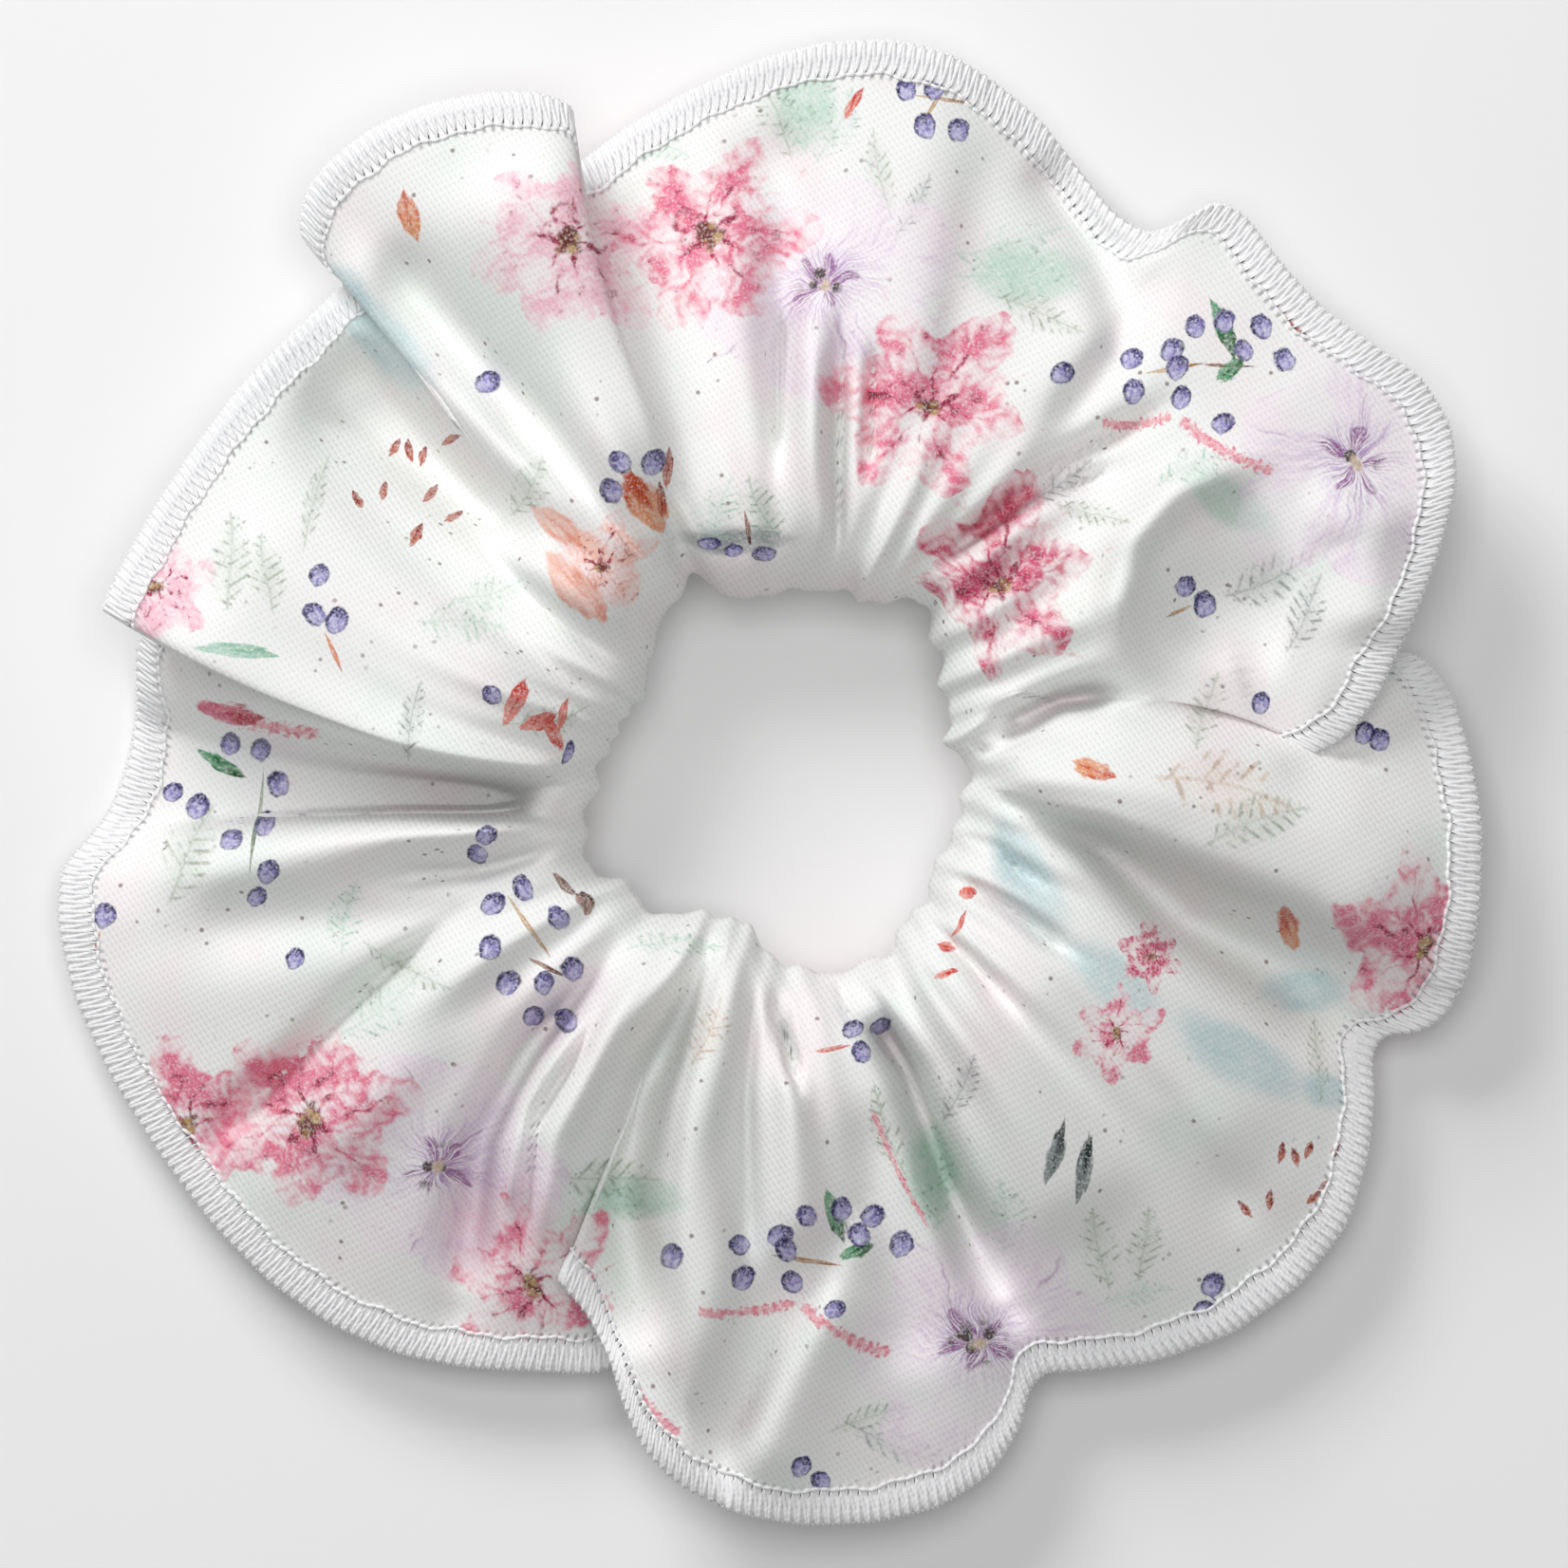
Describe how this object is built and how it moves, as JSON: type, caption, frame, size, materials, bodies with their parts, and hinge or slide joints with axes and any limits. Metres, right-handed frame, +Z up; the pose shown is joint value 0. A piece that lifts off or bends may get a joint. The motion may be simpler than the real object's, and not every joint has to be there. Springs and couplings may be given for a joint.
{
  "type": "scrunchie",
  "caption": "Gathered print-cloth hair tie with an overlocked ruffle edge round a loose elastic loop; it lies flat and stretches sideways.",
  "frame": {"origin": "on the surface that the scrunchie lies on, under the middle of the ruffle's outline; the ring's own axis is 0.4 mm to +X and 1.1 mm to +Y of it", "axes": "+Z up along the ring's axis, out of the face that is seen; +X along the stretch, towards the right half; +Y towards the top of the ring as it is seen from above"},
  "size_m": [0.1215, 0.1253, 0.022],
  "materials": {
    "print_cloth": "white twill-weave cloth with a small scattered print of flowers, berries and sprigs, soft sheen",
    "overlock_thread": "white textured polyester thread",
    "seam_thread": "white spun sewing thread",
    "braided_elastic": "off-white flat braid, matt"
  },
  "bodies": {
    "left_half": {"cover_left": "print_cloth", "elastic_left": "braided_elastic", "elastic_lap_stitches": "seam_thread", "side_seam_thread": "seam_thread", "overlock_needle_thread_left": "overlock_thread", "overlock_upper_looper_left": "overlock_thread", "overlock_lower_looper_left": "overlock_thread"},
    "right_half": {"cover_right": "print_cloth", "elastic_right": "braided_elastic", "overlock_needle_thread_right": "overlock_thread", "overlock_upper_looper_right": "overlock_thread", "overlock_lower_looper_right": "overlock_thread"}
  },
  "joints": [
    {"name": "stretch", "type": "slide", "parent": "left_half", "child": "right_half", "axis": [1, 0, 0], "range_m": [0, 0.05], "stiffness_N_per_m": 100}
  ]
}
